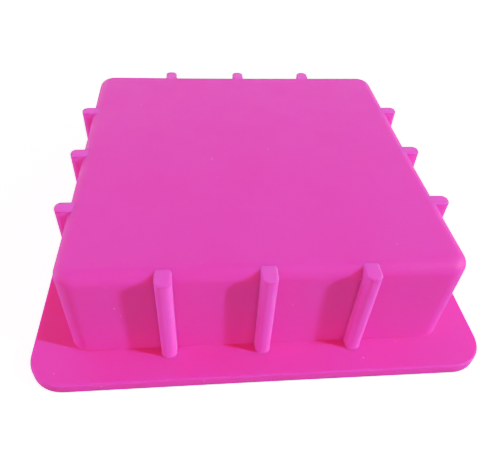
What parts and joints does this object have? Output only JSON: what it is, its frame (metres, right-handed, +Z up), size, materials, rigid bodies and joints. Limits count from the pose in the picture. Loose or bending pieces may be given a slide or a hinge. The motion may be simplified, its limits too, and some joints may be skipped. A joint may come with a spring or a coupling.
{
  "type": "soap loaf mould",
  "caption": "Square flexible silicone mould for slab or loaf soap, lying mouth down: flat closed base, upright walls stiffened by ribs, and a wide flat rim round the mouth.",
  "frame": {"origin": "centre of the mouth, in the plane of the rim's underside, which is what the mould rests on as it lies upside down", "axes": "+Z up, from the mouth to the closed base; X and Y along the two pairs of walls, which are alike; -Y is the front. Turn the part over about X, so that -Z points up, to fill it."},
  "size_m": [0.23, 0.23, 0.06],
  "materials": {
    "silicone": "satin, opaque magenta pink silicone with a very fine even moulded texture"
  },
  "bodies": {
    "root": {"base_panel": "silicone", "wall_front": "silicone", "wall_right": "silicone", "wall_back": "silicone", "wall_left": "silicone", "rim_front": "silicone", "rim_right": "silicone", "rim_back": "silicone", "rim_left": "silicone", "rib_front_left": "silicone", "rib_front_middle": "silicone", "rib_front_right": "silicone", "rib_right_left": "silicone", "rib_right_middle": "silicone", "rib_right_right": "silicone", "rib_back_left": "silicone", "rib_back_middle": "silicone", "rib_back_right": "silicone", "rib_left_left": "silicone", "rib_left_middle": "silicone", "rib_left_right": "silicone"}
  },
  "joints": []
}
